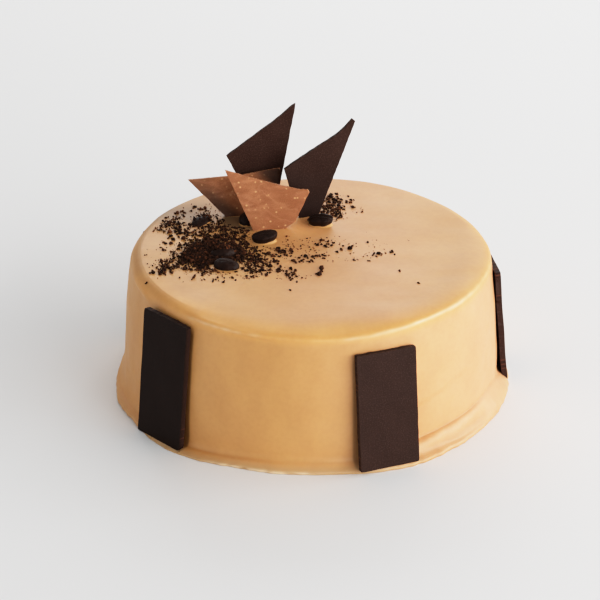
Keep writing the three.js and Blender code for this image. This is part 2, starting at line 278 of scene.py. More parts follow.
glaze = {
    "height": 67.4, "shoulder": (85.1, 61.2), "belly": (88.9, 36.0), "wallFoot": (89.6, 8.0),
    "crease": 91.0, "creaseLift": 1.1, "reach": 94.0, "bulgeTurn": 4, "bulgeWidth": 26, "flat": 66,
    "columns": 600, "footRows": 30, "lowRows": 10, "wallRows": 56, "edgeRows": 36, "topRows": 26,
    "underRings": (0.35, 0.7, 0.97), "crowd": {"times": 3, "width": 1.6, "steps": 7201},
    # azimuths where a run starts, is full, begins to fade and ends
    "skirt": {"rise": 5.2, "spread": 1.8, "height": 20, "inset": 1.1, "turns": (10, 38, 66, 112)},
    "sweep": {"spread": 1.7, "height": 14, "turns": (-165, -125, -64, -38)},
    "tuck": {"depth": 1.2, "turns": (-175, -150, -94, -80)},
    "roll": (14, 30, 54, 68), "crisp": (-52, -28, 84, 125),
    "spill": {"azimuth": -72, "width": 13, "reach": 2.0},
    # height of the crease above the foot, and of the crisp corner under the top, by azimuth
    "creases": [(-180, 3.2), (-62, 3.2), (-44, 1.6), (-38, 1.4), (-31, 2.4), (-18, 4.1), (-1, 4.4),
                (9, 3.9), (20, 4.2), (34, 3.8), (42, 4.7), (52, 5.1), (60, 5.8), (68, 6.1), (75, 5.4),
                (85, 3.0), (95, 2.6), (112, 3.2), (180, 3.2)],
    "corners": [(-60, 64.6), (-20, 64.4), (0, 63.9), (11, 63.6), (27, 64.8), (43, 65.6), (60, 65.7),
                (100, 65)],
    # sections of the foot from its underside to the crease: shares of the reach and of the crease's height
    "fillet": [(0.9, 0), (0.98, 0.06), (1, 0.18), (0.95, 0.33), (0.8, 0.45), (0.58, 0.58), (0.34, 0.73),
               (0.14, 0.88), (0, 1)],
    "slopeFoot": [(0.93, 0), (0.985, 0.04), (1, 0.12), (0.95, 0.25), (0.8, 0.42), (0.6, 0.58), (0.4, 0.72),
                  (0.2, 0.86), (0, 1)],
    "rollFoot": [(0.93, 0), (0.985, 0.03), (1, 0.08), (0.985, 0.14), (0.93, 0.2), (0.85, 0.24), (0.76, 0.28),
                 (0.67, 0.33), (0.59, 0.4), (0.53, 0.5), (0.48, 0.62), (0.42, 0.74), (0.32, 0.86),
                 (0.17, 0.95), (0, 1)],
    "sweepFoot": [(0.5, 0), (0.9, 0.1), (1, 0.3), (0.82, 0.6), (0.45, 0.82), (0, 1)],
    "thinRuns": 0.4,
    # sections of the top edge from the wall to the flat top: where it is crisp, as radius and height, with
    # the level of its corner and where that is full, and where it is rounded, as turns up to a last radius
    "crispEdge": [(85.1, 61.2), (84.86, 62.8), (84.6, 63.9), (84.15, 64.75), (83.1, 65.5), (81, 66.2),
                  (77, 66.9), (72, 67.3), (66, 67.4)],
    "corner": {"level": 64.6, "above": 63.8, "outside": 82},
    "roundTurns": (0, 14, 28, 42, 58, 74, 90), "roundEnd": 72,
    "ragged": 0.3, "ragLengths": (5, 19), "wallWave": 0.2, "topWave": 0.08, "waveLengths": (42, 13),
    "ripple": 0.35, "foldPoints": 40, "seed": 3,
    # low steps in the glaze where one run stopped over another: (azimuth, height) along each
    "folds": [
        {"line": [(30, 23.5), (38, 27), (50, 31)], "depth": 0.3, "width": 0.9, "fade": 8},
        {"line": [(-72, 61.6), (-64, 61.2), (-58, 58.6)], "depth": 0.34, "width": 0.7, "fade": 4},
        {"line": [(-70, 64.6), (-65, 64.2), (-60, 62.2)], "depth": -0.26, "width": 0.7, "fade": 3},
        {"line": [(-38, 64.6), (-27, 64.2), (-14, 63.2)], "depth": 0.4, "width": 0.5, "fade": 1.6},
        {"line": [(-36, 65.9), (-27, 65.5), (-17, 64.9)], "depth": -0.25, "width": 0.4, "fade": 1.2},
        {"line": [(44, 3.4), (52, 2.9), (58, 3.3)], "depth": 0.3, "width": 0.6, "fade": 2},
    ],
    # round the tablets: how the glaze keeps behind their faces, climbs their sides and has a painted shadow
    # beside them
    "behind": 0.9, "lip": {"behind": 0.7, "most": 3, "fall": 0.9, "under": 0.6, "foot": 4, "fade": (12, 2)},
    "gap": {"fall": 0.7, "fade": 5}, "nearTablet": (-9, 12),
}


def byAzimuth(table, azimuth):
    return np.interp(azimuth, [turn for turn, _ in table], [value for _, value in table])


def turnFrom(azimuth, middle):  # the shorter way round, in degrees
    return (azimuth - middle + 180) % 360 - 180


def bodyTurns():  # azimuths of the columns, closer together at the sides of the tablets
    crowd = glaze["crowd"]
    fine = np.linspace(-180, 180, crowd["steps"])
    density = np.ones(fine.shape)
    for plan in tablets:
        half = math.degrees(math.atan2(tabletHalf, plan["distance"]))
        for side in (plan["azimuth"] - half, plan["azimuth"] + half):
            density += crowd["times"] * hump(turnFrom(fine, side), crowd["width"])
    total = np.concatenate([[0], np.cumsum((density[1:] + density[:-1]) / 2)])
    return np.interp(np.linspace(0, total[-1], glaze["columns"], endpoint=False), total, fine)


def footReach(azimuth):
    skirt, tuck, spill = glaze["skirt"], glaze["tuck"], glaze["spill"]
    reach = glaze["reach"] + skirt["spread"] * spanShare(skirt["turns"], azimuth)
    reach = reach - tuck["depth"] * spanShare(tuck["turns"], azimuth)
    swells = [(plan["azimuth"] + glaze["bulgeTurn"], glaze["bulgeWidth"], plan["bulge"]) for plan in tablets]
    swells.append((spill["azimuth"], spill["width"], spill["reach"]))
    for middle, width, swell in swells:
        near = np.minimum(np.abs(turnFrom(azimuth, middle)) / width, 1)
        reach = reach + swell * (0.5 + 0.5 * np.cos(pi * near))
    turn = np.radians(azimuth)
    rim = np.stack([np.sin(turn), np.cos(turn), 0 * turn], axis=1) * glaze["reach"]
    rag = sum(waves(rim, length, glaze["seed"] + step) for step, length in enumerate(glaze["ragLengths"]))
    return reach + glaze["ragged"] * rag / 2


def foldStep(fold, azimuth, height):  # a step that rises across the fold's line and fades away from it
    around = np.radians(azimuth) * glaze["shoulder"][0]
    nearest = np.full(azimuth.shape, np.inf)
    side = np.zeros(azimuth.shape)
    for turn, level in throughPoints(fold["line"], glaze["foldPoints"]):
        gap = np.hypot(around - math.radians(turn) * glaze["shoulder"][0], height - level)
        closer = gap < nearest
        nearest = np.where(closer, gap, nearest)
        side = np.where(closer, height - level, side)
    return fold["depth"] * np.tanh(side / fold["width"]) * np.exp(-nearest / fold["fade"])


def slowWaves(points):
    broad, short = glaze["waveLengths"]
    ripple = glaze["ripple"] * waves(points, short, glaze["seed"] + 3)
    return waves(points, broad, glaze["seed"] + 2) + ripple


def topLevel(x, y):  # height of the flat top with its slow waves
    return glaze["height"] + glaze["topWave"] * slowWaves(np.stack([x, y, 0 * x + glaze["height"]], axis=-1))


def wallRows(azimuth):  # radius and height from the crease up to the shoulder
    share = np.linspace(0, 1, glaze["lowRows"])[:, None]
    endRadius, endHeight = glaze["wallFoot"]
    skirt, sweep = glaze["skirt"], glaze["sweep"]
    skirtShare, sweepShare = spanShare(skirt["turns"], azimuth), spanShare(sweep["turns"], azimuth)
    crease = byAzimuth(glaze["creases"], azimuth)
    startRadius = glaze["crease"] - skirt["inset"] * skirtShare
    lowRadius = (1 - share) ** 2 * startRadius + (1 - (1 - share) ** 2) * endRadius
    lowHeight = (1 - share) ** 2 * crease + 2 * share * (1 - share) * (crease + glaze["creaseLift"])
    lowHeight = lowHeight + share ** 2 * endHeight
    wall = bezier(glaze["wallFoot"], glaze["belly"], glaze["shoulder"], glaze["wallRows"])[1:]
    radius = np.vstack([lowRadius, wall[:, :1] + 0 * azimuth])
    height = np.vstack([lowHeight, wall[:, 1:] + 0 * azimuth])
    radius = radius + sweep["spread"] * sweepShare * np.clip(1 - height / sweep["height"], 0, 1)
    low = np.clip(1 - (height - crease) / skirt["height"], 0, 1)
    return radius, height + low * skirt["rise"] * skirtShare


def edgeRows(azimuth):  # from the shoulder to the flat top: rounded at the back, a crisp corner in front
    outer, low = glaze["shoulder"]
    edge = glaze["height"] - low
    turns = [math.radians(turn) for turn in glaze["roundTurns"]]
    arc = [(outer - edge + edge * math.cos(turn), low + edge * math.sin(turn)) for turn in turns]
    arc += [(glaze["roundEnd"], glaze["height"]), (glaze["flat"], glaze["height"])]
    rounded = throughPoints(arc, glaze["edgeRows"])
    sharp = throughPoints(glaze["crispEdge"], glaze["edgeRows"])
    crisp = spanShare(glaze["crisp"], azimuth)
    corner = glaze["corner"]
    moved = smoothStep(sharp[:, 1:], low, corner["above"])
    moved = moved * smoothStep(sharp[:, :1], glaze["flat"], corner["outside"])
    shift = moved * (byAzimuth(glaze["corners"], azimuth) - corner["level"])
    radius = rounded[:, :1] * (1 - crisp) + sharp[:, :1] * crisp
    height = rounded[:, 1:] * (1 - crisp) + (sharp[:, 1:] + shift) * crisp
    return radius[1:], height[1:]


def footRows(azimuth, radius, height):  # from the underside to the crease, blended between its sections
    skirt, sweep = (spanShare(glaze[name]["turns"], azimuth) for name in ("skirt", "sweep"))
    roll = skirt * spanShare(glaze["roll"], azimuth)
    shares = {"fillet": 1 - skirt - sweep, "slopeFoot": skirt - roll, "rollFoot": roll, "sweepFoot": sweep}
    sections = [throughPoints(glaze[name], glaze["footRows"])[:-1] for name in shares]
    outward = sum(section[:, :1] * share for section, share in zip(sections, shares.values()))
    level = sum(section[:, 1:] * share for section, share in zip(sections, shares.values()))
    thin = np.clip(outward, 0, 1) * (shares["fillet"] + glaze["thinRuns"] * (skirt + sweep))
    return radius + outward * (footReach(azimuth) - radius), level * height, thin


tints = {
    # by azimuth: a painted highlight along the crisp corner, painted shade in the crease, painted sheen on
    # the right of the wall
    "highlightLine": [(-44, 0), (-34, 0.3), (-20, 0.3), (-13, 0.05), (3, 0.05), (12, 0.25), (26, 0.36),
                 (55, 0.3), (75, 0.1), (95, 0)],
    "creaseShadeLine": [(-52, 0), (-44, 0.9), (-20, 0.9), (-6, 0.3), (8, 0.2), (30, 0.3), (40, 0.55), (70, 0.5),
                 (90, 0)],
    "wallSheen": [(-10, 0), (20, 0.35), (38, 0.6), (65, 1), (100, 0.7), (130, 0)],
    "corner": {"radius": 84.35, "under": 0.1, "width": 0.75}, "creaseWidth": 1.1,
    # painted shade in the band under the roll of the foot
    "rollBand": {"out": 0.6, "up": 0.38, "width": 1.9, "share": 0.85},
    # a painted highlight along the foot's outer lip
    "lipHighlight": {"height": 0.7, "width": 0.7, "turns": (-34, -22, -2, 8), "times": 1.2, "less": 0.7,
                  "most": 0.7},
    # painted light: the rounded front edge brighter and more orange
    "edgeLightSpan": {"radius": (71, 82), "height": (60, 64), "turns": (-85, -62, 20, 62)},
    # painted sheen on the top
    "topSheen": {"share": 0.42, "x": (-35, 0, 30, 70), "height": (66, 67.2)},
    # breaks in the painted highlight lines: level, depth and length of their waves, and the least and most
    # that is left
    "breaks": {"level": 0.85, "depth": 0.35, "length": 6, "left": (0.2, 1.3), "seed": 31},
    "topFade": (60, 66),
    # patches on the top as x, y, width, depth and strength: painted shade, less shine and painted light
    # painted shade: the shards' shadow on the top and a darker left side of it
    "paintedShade": {"patches": [(-62, 38, 24, 15, 0.95), (-79, -8, 17, 32, 0.3), (-64, -40, 16, 13, 0.15)],
             "height": (64, 66.8)},
    "dull": {"patches": [(-7, 26, 5, 10, 1)], "height": (60, 66)},
    # painted light on the glaze between the shards
    "lift": {"patches": [(-3, 24, 9, 10, 1)], "height": (60, 66)},
    # shade under the back milk shard
    "dusk": {"x": (-44.5, -41.5, -27, -22), "y": (14, 25, 40, 48)},
}


def patchShare(patches, x, y):
    return sum(share * np.exp(-((x - x0) / width) ** 2 - ((y - y0) / depth) ** 2)
               for x0, y0, width, depth, share in patches)


def glazeTones(azimuth, radius, height, creaseRadius, creaseHeight):  # how far each vertex is tinted, 0 to 1
    turns = np.radians(azimuth + 0 * radius)
    x, y = radius * np.sin(turns), -radius * np.cos(turns)
    spots = np.stack([x, y, height], axis=-1).reshape(-1, 3)
    breaks = tints["breaks"]
    uneven = breaks["level"] + breaks["depth"] * waves(spots, breaks["length"], breaks["seed"])
    broken = np.clip(uneven, *breaks["left"]).reshape(radius.shape)
    onTop = smoothStep(height, *tints["topFade"])
    reach = footReach(azimuth)

    def near(lineRadius, lineHeight, width):
        return np.exp(-((radius - lineRadius) ** 2 + (height - lineHeight) ** 2) / width ** 2)

    corner, lip = tints["corner"], tints["lipHighlight"]
    cornerHeight = byAzimuth(glaze["corners"], azimuth) - corner["under"]
    cornerHighlight = near(corner["radius"], cornerHeight, corner["width"])
    cornerHighlight *= byAzimuth(tints["highlightLine"], azimuth)
    lipHighlightLine = near(reach, lip["height"], lip["width"]) * spanShare(lip["turns"], azimuth)
    lipBroken = np.clip(lip["times"] * broken - lip["less"], 0, lip["most"])
    band = tints["rollBand"]
    bandRadius = creaseRadius + band["out"] * (reach - creaseRadius)
    bandShade = near(bandRadius, band["up"] * creaseHeight, band["width"]) * spanShare(glaze["roll"], azimuth)
    creaseShade = near(creaseRadius, creaseHeight, tints["creaseWidth"])
    creaseShade *= byAzimuth(tints["creaseShadeLine"], azimuth)
    edgeLight, topSheenSpan, dusk = tints["edgeLightSpan"], tints["topSheen"], tints["dusk"]
    edgeLightShare = smoothStep(radius, *edgeLight["radius"]) * smoothStep(height, *edgeLight["height"])
    topSheenShare = topSheenSpan["share"] * spanShare(topSheenSpan["x"], x) * smoothStep(height, *topSheenSpan["height"])
    tones = {
        # painted highlights along the crisp corner and the foot's lip
        "pale": broken * cornerHighlight + lipBroken * lipHighlightLine,
        # painted shade in the crease and in the band under the roll
        "groove": creaseShade + band["share"] * bandShade,
        "edgeLight": edgeLightShare * spanShare(edgeLight["turns"], azimuth),
        # painted sheen on the right of the wall and on the top
        "paintedSheen": byAzimuth(tints["wallSheen"], azimuth) * (1 - onTop) + topSheenShare,
        "dusk": spanShare(dusk["x"], x) * spanShare(dusk["y"], y) * onTop,
    }
    for name in ("paintedShade", "dull", "lift"):
        tones[name] = patchShare(tints[name]["patches"], x, y) * smoothStep(height, *tints[name]["height"])
    return tones


def bodyRows(azimuth):  # radius and height of each row from the underside to the top, and the tones there
    wallRadius, wallHeight = wallRows(azimuth)
    edgeRadius, edgeHeight = edgeRows(azimuth)
    footRadius, footHeight, footThin = footRows(azimuth, wallRadius[0], wallHeight[0])
    underRadius = np.array(glaze["underRings"])[:, None] * footRadius[0]
    topRadius = np.linspace(glaze["flat"], 0, glaze["topRows"])[1:-1, None] + 0 * azimuth
    radius = np.vstack([underRadius, footRadius, wallRadius, edgeRadius, topRadius])
    topHeight = 0 * topRadius + glaze["height"]
    height = np.vstack([0 * underRadius, footHeight, wallHeight, edgeHeight, topHeight])
    tones = glazeTones(azimuth, radius, height, wallRadius[0], wallHeight[0])
    tones["thin"] = np.zeros(radius.shape)
    tones["thin"][len(underRadius):len(underRadius) + len(footThin)] = footThin
    return radius, height, tones


def meetTablets(points):  # moves the glaze round the tablets and says how dark the painted shadow beside them is
    lip, gloom = glaze["lip"], glaze["gap"]
    farBack, farAhead = glaze["nearTablet"]
    shadow = np.zeros(len(points))
    for plan in tablets:
        across, up, ahead = tabletSpots(plan, points).T
        length = plan["length"]
        near = (ahead > farBack) & (ahead < farAhead) & (up > 0) & (up < length)
        climb = np.zeros(len(points))
        for side in (-1, 1):
            gap = side * across - tabletHalf
            beside = np.maximum(gap, 0)
            if side in plan["lips"]:
                fadeStart, fadeEnd = (length - below for below in lip["fade"])
                rise = np.clip(-lip["behind"] - ahead, 0, lip["most"]) * hump(beside, lip["fall"])
                rise *= smoothStep(up, 0, lip["foot"]) * (1 - smoothStep(up, fadeStart, fadeEnd))
                climb += np.where(near & (gap > -lip["under"]), rise, 0)
            else:
                dark = plan["gap"] * hump(beside, gloom["fall"])
                dark *= 1 - smoothStep(up, length - gloom["fade"], length)
                shadow += np.where(near & (gap > -tabletHalf), dark, 0)
        covered = near & (np.abs(across) < tabletHalf) & (ahead > -glaze["behind"])
        face = np.array(tabletPlace(plan))[:3, 2]
        points += np.where(covered, -glaze["behind"] - ahead, climb)[:, None] * face
    return points, shadow


def glazeBody(material):
    azimuth = bodyTurns()
    radius, height, tones = bodyRows(azimuth)
    lean = np.arctan2(-np.gradient(radius, axis=0), np.gradient(height, axis=0))  # of the surface's normal
    lean = np.clip(lean, 0, pi / 2).reshape(-1)
    turns, tall = (azimuth + 0 * radius).reshape(-1), height.reshape(-1)
    way = np.stack([np.sin(np.radians(turns)), -np.cos(np.radians(turns)), 0 * turns], axis=1)
    points = way * radius.reshape(-1, 1)
    points[:, 2] = tall

    # relief along the surface: slow waves and folds, none underneath
    onTop = np.sin(lean)
    relief = slowWaves(points) * (glaze["wallWave"] + (glaze["topWave"] - glaze["wallWave"]) * onTop)
    for fold in glaze["folds"]:
        relief += foldStep(fold, turns, tall)
    relief[:(len(glaze["underRings"]) + 1) * len(azimuth)] = 0
    points += relief[:, None] * (way * np.cos(lean)[:, None] + np.array([0, 0, 1]) * onTop[:, None])
    points, tones["shadow"] = meetTablets(points)

    ends = [(0, 0, 0), (0, 0, glaze["height"])]
    faces = closedFaces(len(radius), glaze["columns"])
    piece = addPiece("glazeBody", np.vstack([points, ends]), faces, material)
    for name, tone in tones.items():
        addTone(piece, name, np.append(tone.reshape(-1), [0, 0]))
    return settle(piece, "glaze", "cake")


glazeLook = {
    "tones": [(0.3, (0.60, 0.294, 0.095)), (0.55, (0.62, 0.309, 0.101)), (0.75, (0.64, 0.325, 0.109))],
    "clouds": [(0.36, (0.965, 0.955, 0.94)), (0.6, (1.01, 1.01, 1.01))],
    "freckles": [(0.35, (0.965, 0.955, 0.94)), (0.6, (1, 1, 1))],
    # what the colour is multiplied by where each tone is full: painted shade in the crease, under the shard
    # and beside the tablets, painted light on the front edge and between the shards, and painted sheen
    "tints": {"groove": (0.84, 0.77, 0.66), "edgeLight": (1.15, 1.12, 1.0), "paintedSheen": (1.0, 0.98, 1.45),
              "paintedShade": (0.45, 0.47, 0.52), "dusk": (0.34, 0.38, 0.5), "shadow": (0.3, 0.25, 0.17),
              "lift": (1.4, 1.42, 1.5)},
    # pale is the colour of the painted highlights
    "washes": [("thin", [(0.1, 0), (0.9, 0.85)], (0.49, 0.30, 0.145))], "pale": (0.86, 0.66, 0.44),
    "roughness": [(0.3, 0.46), (0.7, 0.54)], "shine": [(0.1, 0.5), (0.8, 0.05)], "ior": 1.6,
}


def spatulaRings(tree, spot):  # faint rings left by the spatula on the top
    place = addNode(tree, "ShaderNodeSeparateXYZ", {"Vector": spot}).outputs
    flat = addNode(tree, "ShaderNodeCombineXYZ", {"X": place["X"], "Y": place["Y"]}).outputs["Vector"]
    away = addNode(tree, "ShaderNodeVectorMath", {0: flat}, operation="LENGTH").outputs["Value"]
    ring = addNode(tree, "ShaderNodeCombineXYZ", {"X": away, "Y": place["Z"]}).outputs["Vector"]
    drift = addNode(tree, "ShaderNodeMapping", {"Vector": spot, "Scale": (0.06, 0.06, 0)}).outputs["Vector"]
    along = addNode(tree, "ShaderNodeVectorMath", {0: ring, 1: drift}, operation="ADD").outputs["Vector"]
    return noiseOf(tree, along, 3.2)


def glazeFinish():
    material, tree, shader = startMaterial("coffeeGlaze")
    spot = pieceSpot(tree)
    broad = noiseOf(tree, spot, 46, 2.0)
    patch = noiseOf(tree, pieceSpot(tree, (1, 1, 0.6)), 15, 2.0, 0.5)
    fine = noiseOf(tree, spot, 2.2, 4.0)
    smear = noiseOf(tree, pieceSpot(tree, (0.25, 1, 1)), 9)
    colour = rampOf(tree, broad, glazeLook["tones"])
    colour = timesOf(tree, colour, rampOf(tree, patch, glazeLook["clouds"]))
    colour = timesOf(tree, colour, rampOf(tree, fine, glazeLook["freckles"]))
    for name, tint in glazeLook["tints"].items():
        colour = timesOf(tree, colour, mixOf(tree, toneOf(tree, name), (1.0, 1.0, 1.0), tint))
    colour = layWashes(tree, colour, glazeLook["washes"], {"thin": toneOf(tree, "thin")})
    feed(tree, shader, {
        "Base Color": mixOf(tree, toneOf(tree, "pale"), colour, glazeLook["pale"]),
        "Roughness": rampOf(tree, smear, glazeLook["roughness"]), "IOR": glazeLook["ior"],
        "Specular IOR Level": rampOf(tree, toneOf(tree, "dull"), glazeLook["shine"]),
        "Subsurface Weight": 0.12, "Subsurface Radius": (1.0, 0.5, 0.2), "Subsurface Scale": 0.003,
        "Normal": bumpOf(tree, [(fine, 0.015), (smear, 0.04), (spatulaRings(tree, spot), 0.03)])})
    return material


print("glaze body")
coffeeGlaze = glazeFinish()
glazeBody(coffeeGlaze)


# Flat chocolate: an outline roughened, thickened, rounded along its rims and cut into cells that can warp

def roughOutline(corners, spacing, rag, length, seed):
    corners = np.array(corners, float)
    points = []
    for start, end in zip(corners, np.roll(corners, -1, axis=0)):
        steps = max(1, round(math.dist(start, end) / spacing))
        points += [start + step / steps * (end - start) for step in range(steps)]
    points = np.array(points)
    along = np.roll(points, -1, axis=0) - np.roll(points, 1, axis=0)
    along /= np.linalg.norm(along, axis=1, keepdims=True)
    outward = np.stack([along[:, 1], -along[:, 0]], axis=1)
    place = np.column_stack([points, np.zeros(len(points))])
    return points + outward * (rag * waves(place, length, seed))[:, None]


def slabForm(outline, kind):
    form = bmesh.new()
    front = [form.verts.new((x, y, 0)) for x, y in outline]
    back = [form.verts.new((x, y, -kind["thickness"])) for x, y in outline]
    faces = [form.faces.new(front), form.faces.new(back[::-1])]
    rims = [edge for face in faces for edge in face.edges]
    for i in range(len(front)):
        after = (i + 1) % len(front)
        form.faces.new((front[after], front[i], back[i], back[after]))
    bmesh.ops.bevel(form, geom=rims, offset=kind["round"], offset_type="OFFSET", segments=3, profile=0.5,
                    affect="EDGES", clamp_overlap=False)
    low, high = outline.min(axis=0), outline.max(axis=0)
    for axis, way in ((0, (1, 0, 0)), (1, (0, 1, 0))):
        for cut in np.arange(low[axis] + kind["cell"], high[axis] - kind["cell"] / 2, kind["cell"]):
            whole = form.verts[:] + form.edges[:] + form.faces[:]
            bmesh.ops.bisect_plane(form, geom=whole, plane_co=[cut * part for part in way], plane_no=way)
    bmesh.ops.recalc_face_normals(form, faces=form.faces[:])
    return inOrder(*formArrays(form))


def formArrays(form):  # its points and faces, after which it is let go
    form.verts.index_update()
    points = np.array([vertex.co for vertex in form.verts])
    faces = [[vertex.index for vertex in face.verts] for face in form.faces]
    form.free()
    return points, faces


def inOrder(points, faces):  # bevels and cuts list them in another order in each run
    order = np.lexsort(points.T.round(4))
    newPlace = np.argsort(order).tolist()
    faces = [[newPlace[corner] for corner in face] for face in faces]
    return points[order], sorted(faces, key=sorted)


# how a slab's painted shade fades up its height, and what is left of it on the edges and on the back
slabShade = {"low": 4, "share": 0.7, "more": 6, "edges": 0.4, "back": 0.2}


def shadeOf(plan, x, y, tall, edges):  # the painted shade on the face of a slab
    high = slabShade["share"] * tall + slabShade["more"]
    shade = plan["shade"] + plan.get("dim", 0) * (1 - smoothStep(y, slabShade["low"], high))
    if "lit" in plan:  # painted light in the middle and painted shade at the far end, along a slant
        slant = x + y
        farEnd = plan["dark"] * smoothStep(slant, *plan["lit"][2:])
        shade = shade * (1 - spanShare(plan["lit"], slant)) + farEnd
        shade = np.where(edges, slabShade["edges"] * shade, shade)
    return shade


def addSlab(name, outline, kind, plan, warp, material, place):
    points, faces = slabForm(outline, kind)
    hair = 0.02
    inward = np.minimum(-points[:, 2], points[:, 2] + kind["thickness"])
    rim = (inward > hair) & (inward < kind["round"] - hair)  # a thin line along the rounded rims, where a highlight is painted
    side = inward > kind["round"] - hair
    points[:, 2] += warp(points)
    piece = addPiece(name, points, faces, material)
    addTone(piece, "rim", rim)
    # painted shade on the narrow sides
    addTone(piece, "side", kind["sideShade"] * side)
    shade = shadeOf(plan, points[:, 0], points[:, 1], outline[:, 1].max(), rim | side)
    front = points[:, 2] > -kind["thickness"] / 2
    addTone(piece, "shade", np.where(front, shade, slabShade["back"] * plan["shade"]))
    piece.matrix_world = Matrix.Translation(place.translation * mm) @ place.to_3x3().to_4x4()
    even = piece.modifiers.new("evenNormals", "WEIGHTED_NORMAL")
    even.keep_sharp = False
    return piece


def roundedCorners(width, length, radii, steps=4):  # corners from the top right, turning left
    half = width / 2
    spots = [(half, length), (-half, length), (-half, 0), (half, 0)]
    points = []
    for quarter, ((x, y), radius) in enumerate(zip(spots, radii)):
        middle = (x - math.copysign(radius, x), y - radius if y > 0 else y + radius)
        for step in range(steps + 1):
            turn = pi / 2 * (quarter + step / steps)
            points.append((middle[0] + radius * math.cos(turn), middle[1] + radius * math.sin(turn)))
    return points


darkLook = {
    "tones": [(0.3, (0.036, 0.0155, 0.0105)), (0.7, (0.045, 0.0195, 0.0135))],
    "washes": [("grain", [(0.5, 0), (0.7, 0.6)], (0.1, 0.054, 0.041)),
               ("streak", [(0.45, 0), (0.75, 0.2)], (0.056, 0.027, 0.02)),
               # painted shade on the sides
               ("side", [(0, 0), (1, 0.9)], (0.012, 0.005, 0.004)),
               # a painted highlight along the rims
               ("rim", [(0.2, 0), (0.7, 0.8)], (0.12, 0.045, 0.028))],
    "shade": (0.004, 0.0028, 0.0024), "roughness": [(0.3, 0.5), (0.7, 0.66)], "ior": 1.2,
}


def darkFinish():
    material, tree, shader = startMaterial("darkChocolate")
    spot = pieceSpot(tree)
    grain = noiseOf(tree, spot, 0.6, 2.0, 0.7)
    streak = noiseOf(tree, pieceSpot(tree, (1, 0.06, 1)), 1.6)
    sources = {"grain": grain, "streak": streak, "side": toneOf(tree, "side"), "rim": toneOf(tree, "rim")}
    colour = rampOf(tree, noiseOf(tree, spot, 14), darkLook["tones"])
    colour = layWashes(tree, colour, darkLook["washes"], sources)
    feed(tree, shader, {
        "Base Color": mixOf(tree, toneOf(tree, "shade"), colour, darkLook["shade"]),
        "Roughness": rampOf(tree, grain, darkLook["roughness"]), "IOR": darkLook["ior"],
        "Normal": bumpOf(tree, [(grain, 0.06), (streak, 0.04)])})
    return material


milkLook = {
    "tones": [(0.32, (0.262, 0.097, 0.04)), (0.68, (0.345, 0.141, 0.061))],
    "washes": [("streak", [(0.4, 0), (0.75, 0.4)], (0.46, 0.19, 0.09)),
               ("swirl", [(0.5, 0), (0.66, 0.4)], (0.47, 0.205, 0.1)),
               ("ripple", [(0.8, 0), (0.98, 0.22)], (0.52, 0.24, 0.12))],
    "grain": [(0.3, (0.84, 0.82, 0.8)), (0.7, (1.12, 1.12, 1.12))],
    # flecks: their size in a cell, which cells have one, and how frayed they are
    "fleck": {"colour": (0.64, 0.35, 0.165), "cell": 2.6, "size": [(0.13, 0.9), (0.26, 0)],
              "chosen": [(0.6, 0), (0.7, 1)], "frayed": [(0.4, 0), (0.56, 1)]},
    # a painted highlight along the rims, and the colour of the painted shade
    "edges": [("rim", [(0.2, 0), (0.7, 0.8)], (0.66, 0.33, 0.17))], "shade": (0.03, 0.012, 0.006),
    "roughness": [(0.3, 0.42), (0.7, 0.55)], "specular": 0.2,
}


def milkFinish():  # the same through its thickness
    material, tree, shader = startMaterial("milkChocolate")
    spot = pieceSpot(tree, (1, 1, 0))
    cloud = noiseOf(tree, spot, 9)
    grain = noiseOf(tree, spot, 0.5, 2.0)
    streak = noiseOf(tree, pieceSpot(tree, (0.16, 1, 0)), 2.6, 4.0)
    swirl = noiseOf(tree, pieceSpot(tree, (0.45, 1, 0)), 5, 3.0, 0.5, 1.6)
    ripple = addNode(tree, "ShaderNodeTexWave", {
        "Vector": pieceSpot(tree, (0.6, 1, 0)), "Scale": 0.06 / mm, "Distortion": 14.0, "Detail": 4.0,
        "Detail Scale": 1.6}, bands_direction="DIAGONAL").outputs["Fac"]
    look = milkLook["fleck"]
    cells = addNode(tree, "ShaderNodeTexVoronoi", {
        "Vector": pieceSpot(tree, (1, 1.2, 0)), "Scale": 1 / (look["cell"] * mm)}, voronoi_dimensions="2D")
    fleck = rampOf(tree, cells.outputs["Distance"], look["size"])
    fleck = timesOf(tree, fleck, rampOf(tree, cells.outputs["Color"], look["chosen"]))
    fleck = timesOf(tree, fleck, rampOf(tree, noiseOf(tree, spot, 1.6), look["frayed"]))
    colour = rampOf(tree, cloud, milkLook["tones"])
    sources = {"streak": streak, "swirl": swirl, "ripple": ripple, "rim": toneOf(tree, "rim")}
    colour = layWashes(tree, colour, milkLook["washes"], sources)
    colour = timesOf(tree, colour, rampOf(tree, grain, milkLook["grain"]))
    colour = mixOf(tree, fleck, colour, look["colour"])
    colour = layWashes(tree, colour, milkLook["edges"], sources)
    feed(tree, shader, {
        "Base Color": mixOf(tree, toneOf(tree, "shade"), colour, milkLook["shade"]),
        "Roughness": rampOf(tree, cloud, milkLook["roughness"]), "Specular IOR Level": milkLook["specular"],
        "Subsurface Weight": 0.06, "Subsurface Scale": 0.001,
        "Normal": bumpOf(tree, [(swirl, 0.08), (streak, 0.05), (grain, 0.02)])})
    return material


darkChocolate, milkChocolate = darkFinish(), milkFinish()

